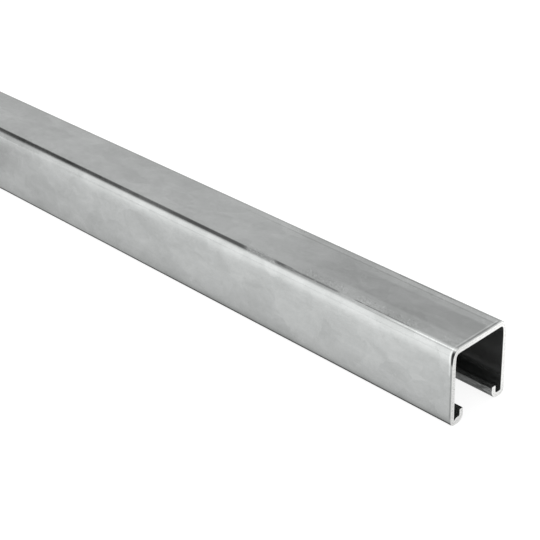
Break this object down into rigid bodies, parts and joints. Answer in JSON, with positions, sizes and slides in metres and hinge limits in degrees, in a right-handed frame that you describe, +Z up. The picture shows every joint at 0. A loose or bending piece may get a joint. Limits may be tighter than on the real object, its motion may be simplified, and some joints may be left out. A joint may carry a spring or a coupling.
{
  "type": "strut channel",
  "caption": "Straight length of roll-formed galvanized steel strut channel with a solid back, two flanges and inward-turned lips beside a long slot.",
  "frame": {"origin": "midway along the length and across the width, at the height of the lips' bottoms, which is the floor the piece lies on", "axes": "+X along the length towards the cut end nearest the camera in the picture, +Y across the width, +Z up from the slot side to the solid back"},
  "size_m": [0.6096, 0.0412, 0.0413],
  "materials": {
    "galvanized_steel": "mill-galvanized, satin, faintly mottled"
  },
  "bodies": {
    "root": {"strut_channel": "galvanized_steel"}
  },
  "joints": []
}
